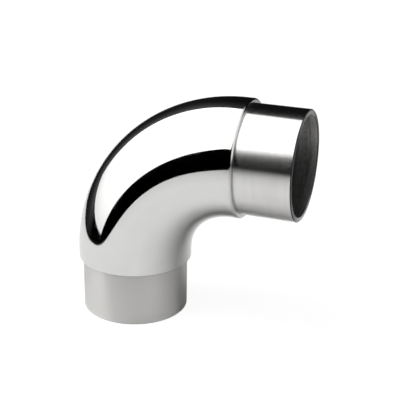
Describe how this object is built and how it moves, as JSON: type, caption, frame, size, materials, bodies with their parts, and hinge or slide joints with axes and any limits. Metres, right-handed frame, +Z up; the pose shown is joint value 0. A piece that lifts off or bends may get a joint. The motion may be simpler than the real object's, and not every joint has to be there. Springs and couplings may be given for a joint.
{
  "type": "stainless steel handrail elbow",
  "caption": "Polished stainless steel right-angle elbow with a stepped spigot at each end that slips inside round handrail tube.",
  "frame": {"origin": "centre of the lower spigot's end face, on the lower leg's axis", "axes": "+Z up the lower leg's axis, +X out along the side leg's axis, Y square to the plane that holds both legs"},
  "size_m": [0.0847, 0.0424, 0.0847],
  "materials": {
    "stainless_steel": "mirror polished body, fine turned satin spigots, rough bore"
  },
  "bodies": {
    "root": {"elbow": "stainless_steel"}
  },
  "joints": []
}
